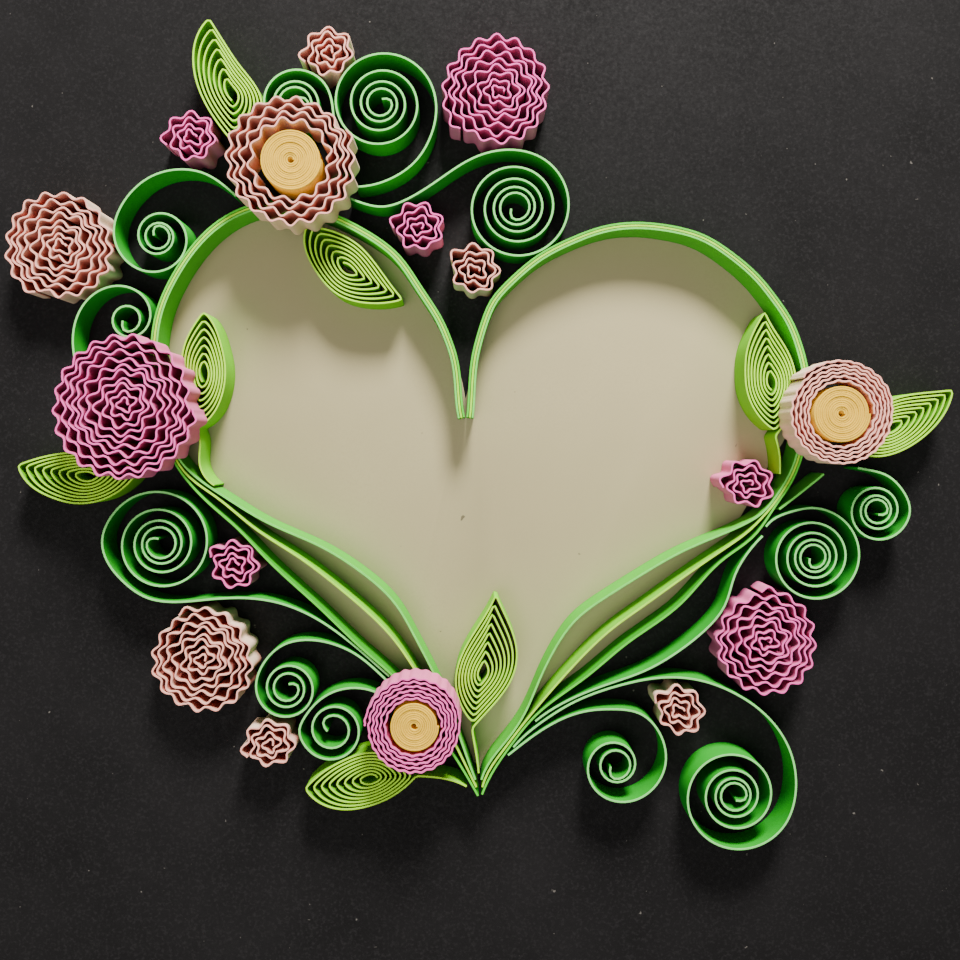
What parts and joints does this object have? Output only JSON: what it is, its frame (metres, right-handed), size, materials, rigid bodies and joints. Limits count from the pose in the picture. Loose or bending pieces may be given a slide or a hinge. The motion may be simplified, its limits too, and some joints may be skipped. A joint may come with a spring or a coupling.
{
  "type": "quilled paper art",
  "caption": "Paper quilling on a black card: a heart outline around a cream panel, with crimped coil flowers, looped leaves and loose scrolls standing on edge.",
  "frame": {"origin": "centre of the back of the square backing card, which lies on the surface", "axes": "+Z out of the face of the card, +Y to the top of the heart, +X to the right"},
  "size_m": [0.2, 0.2, 0.0122],
  "materials": {
    "black_card": "matt black board with a faint fibre",
    "cream_paper": "plain cream paper",
    "green_paper": "dark green quilling strip with paler cut edges",
    "lime_paper": "lime quilling strip with paler cut edges",
    "pale_green_paper": "pale green quilling strip",
    "yellow_paper": "golden yellow strip rolled tight",
    "deep_pink_paper": "crimped deep pink strip",
    "pale_pink_paper": "crimped pale pink strip"
  },
  "bodies": {
    "root": {"backing_card": "black_card", "bud_bottom_left": "pale_pink_paper", "bud_bottom_right": "pale_pink_paper", "bud_cleft_left": "deep_pink_paper", "bud_cleft_right": "pale_pink_paper", "bud_left": "deep_pink_paper", "bud_right": "deep_pink_paper", "bud_top": "pale_pink_paper", "bud_top_left": "deep_pink_paper", "flower_bottom": "deep_pink_paper", "flower_bottom_core": "yellow_paper", "flower_far_left": "pale_pink_paper", "flower_left_large": "deep_pink_paper", "flower_lower_left": "pale_pink_paper", "flower_lower_right": "deep_pink_paper", "flower_right": "pale_pink_paper", "flower_right_core": "yellow_paper", "flower_top": "deep_pink_paper", "flower_top_left": "pale_pink_paper", "flower_top_left_core": "yellow_paper", "heart_left_inner_strip": "pale_green_paper", "heart_left_middle_strip": "lime_paper", "heart_left_outer_strip": "green_paper", "heart_panel": "cream_paper", "heart_right_inner_strip": "pale_green_paper", "heart_right_middle_strip": "lime_paper", "heart_right_outer_strip": "green_paper", "leaf_inner_bottom": "lime_paper", "leaf_inner_left": "lime_paper", "leaf_inner_right": "lime_paper", "leaf_left_lobe": "lime_paper", "leaf_outer_bottom": "lime_paper", "leaf_outer_left": "lime_paper", "leaf_outer_right": "lime_paper", "leaf_top": "lime_paper", "link_strip": "green_paper", "scroll_bottom": "green_paper", "scroll_bottom_left_lower": "green_paper", "scroll_bottom_left_upper": "green_paper", "scroll_bottom_right": "green_paper", "scroll_cleft": "green_paper", "scroll_left": "green_paper", "scroll_lower_left": "green_paper", "scroll_right": "green_paper", "scroll_right_small": "green_paper", "scroll_top": "green_paper", "scroll_top_small": "green_paper", "scroll_upper_left": "green_paper", "short_strip": "pale_green_paper"}
  },
  "joints": []
}
